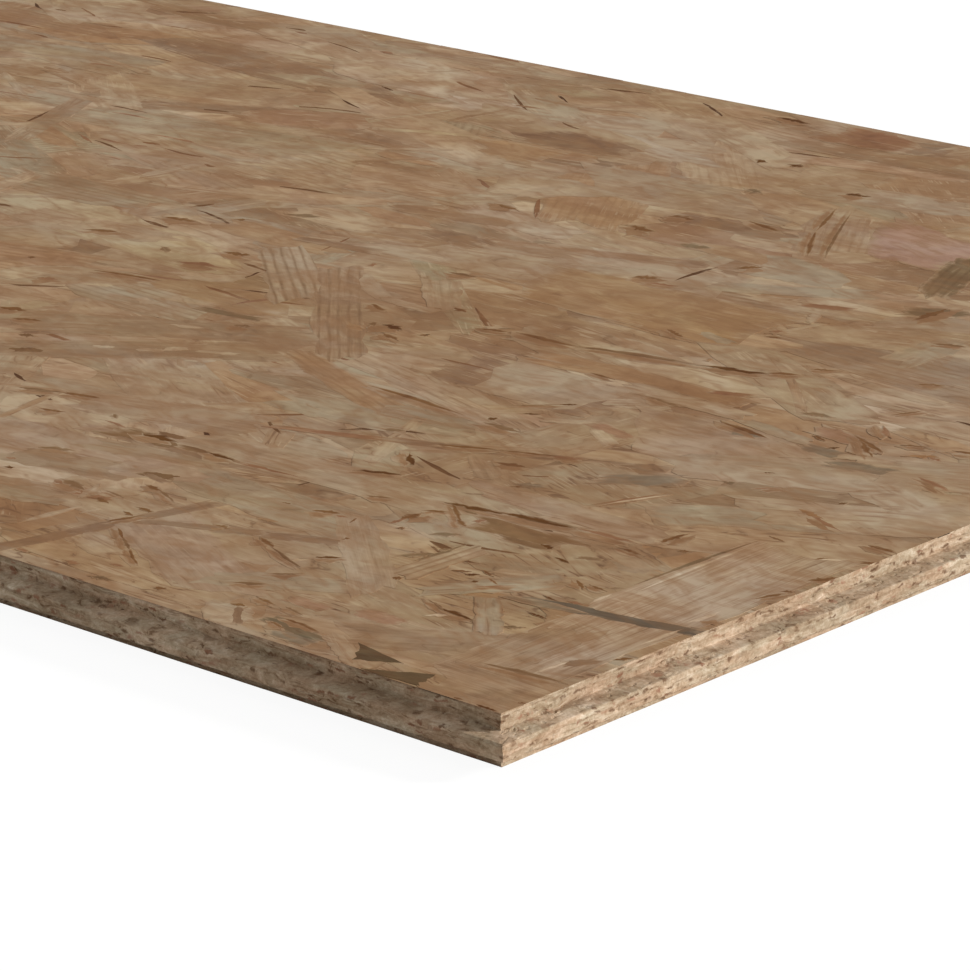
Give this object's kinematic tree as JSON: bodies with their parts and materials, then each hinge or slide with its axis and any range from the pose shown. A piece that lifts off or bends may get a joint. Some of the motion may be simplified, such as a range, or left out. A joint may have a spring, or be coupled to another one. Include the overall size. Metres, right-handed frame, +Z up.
{
  "type": "tongue and groove osb panel",
  "caption": "Oriented strand board panel pressed from overlapping wood strands, with milled tongues on a long side and an end and matching grooves on the sides opposite.",
  "frame": {"origin": "on the plane the panel lies on, below the middle of its outline, tongues included", "axes": "+X along the length towards the tongued end, +Y across the width towards the grooved long side, +Z up through the thickness"},
  "size_m": [2.5086, 0.6838, 0.018],
  "materials": {
    "osb": "unsanded pressed wood strands in tan, straw, pinkish brown and grey, paler along the milled edges"
  },
  "bodies": {
    "root": {"osb_panel": "osb"}
  },
  "joints": []
}
